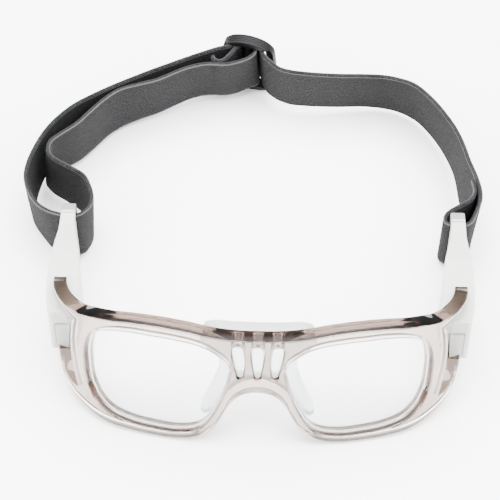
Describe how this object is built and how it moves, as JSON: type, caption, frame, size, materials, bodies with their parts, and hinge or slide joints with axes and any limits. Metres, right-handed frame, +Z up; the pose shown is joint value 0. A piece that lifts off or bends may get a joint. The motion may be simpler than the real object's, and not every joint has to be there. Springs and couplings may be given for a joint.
{
  "type": "sports protective goggles",
  "caption": "Wrap-around clear sports goggles with a silicone nose pad, hinged strap arms and an elastic head strap with a sliding adjuster.",
  "frame": {"origin": "on the table under the middle of the whole object's box, goggles lying on their lower rims and arm ends", "axes": "+X across the face, +Y back from the lenses to the strap's slider, +Z up"},
  "size_m": [0.171, 0.1794, 0.0497],
  "materials": {
    "clear_front": "polished transparent, warm smoke tint",
    "lens": "polished clear",
    "silicone": "satin translucent",
    "milky_arm": "satin translucent",
    "pin_steel": "satin",
    "webbing": "ribbed elastic webbing",
    "thread": "twisted thread",
    "patch": "plain woven tab",
    "slider_plastic": "satin moulded"
  },
  "bodies": {
    "front": {"frame": "clear_front", "lens_left": "lens", "lens_right": "lens", "nose_pad": "silicone", "strap": "webbing", "seam_right": "thread", "seam_slider": "thread", "strap_patch": "patch"},
    "left_arm": {"arm_left": "milky_arm", "hinge_pin_left": "pin_steel"},
    "right_arm": {"arm_right": "milky_arm", "hinge_pin_right": "pin_steel"},
    "adjuster": {"slider": "slider_plastic"}
  },
  "joints": [
    {"name": "arm_left_hinge", "type": "hinge", "parent": "front", "child": "left_arm", "pos_m": [-0.0642, -0.05373, 0.019], "axis": [0, 0, -1], "range_deg": [0, 25], "deforming": ["strap", "strap_patch"]},
    {"name": "arm_right_hinge", "type": "hinge", "parent": "front", "child": "right_arm", "pos_m": [0.0736, -0.05373, 0.019], "axis": [0, 0, 1], "range_deg": [0, 25], "deforming": ["strap", "seam_right"]},
    {"name": "slider_slide", "type": "slide", "parent": "front", "child": "adjuster", "axis": [0.9659, -0.2588, 0], "range_m": [-0.012, 0.012], "deforming": ["strap", "seam_slider"]}
  ]
}
